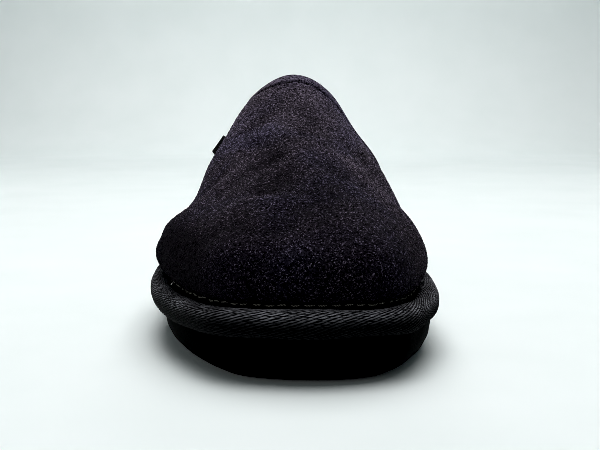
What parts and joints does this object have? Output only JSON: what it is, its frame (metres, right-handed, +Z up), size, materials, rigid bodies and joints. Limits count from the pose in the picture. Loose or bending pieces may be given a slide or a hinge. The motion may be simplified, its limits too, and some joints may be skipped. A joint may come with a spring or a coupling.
{
  "type": "sheepskin slipper",
  "caption": "Open-back house slipper: suede vamp over the forefoot, rolled twill binding round the edge, plush footbed and a flat rubber sole, for the right foot.",
  "frame": {"origin": "on the floor, under the middle of the slipper's box", "axes": "+Z up, toe to -Y and heel to +Y, inner side of the right foot to +X"},
  "size_m": [0.1118, 0.2903, 0.1014],
  "materials": {
    "outsole": "matte",
    "insole": "plush",
    "edge_binding": "twill",
    "upper": "suede",
    "side_tag": "matte"
  },
  "bodies": {
    "root": {"outsole": "outsole", "insole": "insole", "edge_binding": "edge_binding", "upper": "upper", "side_tag": "side_tag"}
  },
  "joints": []
}
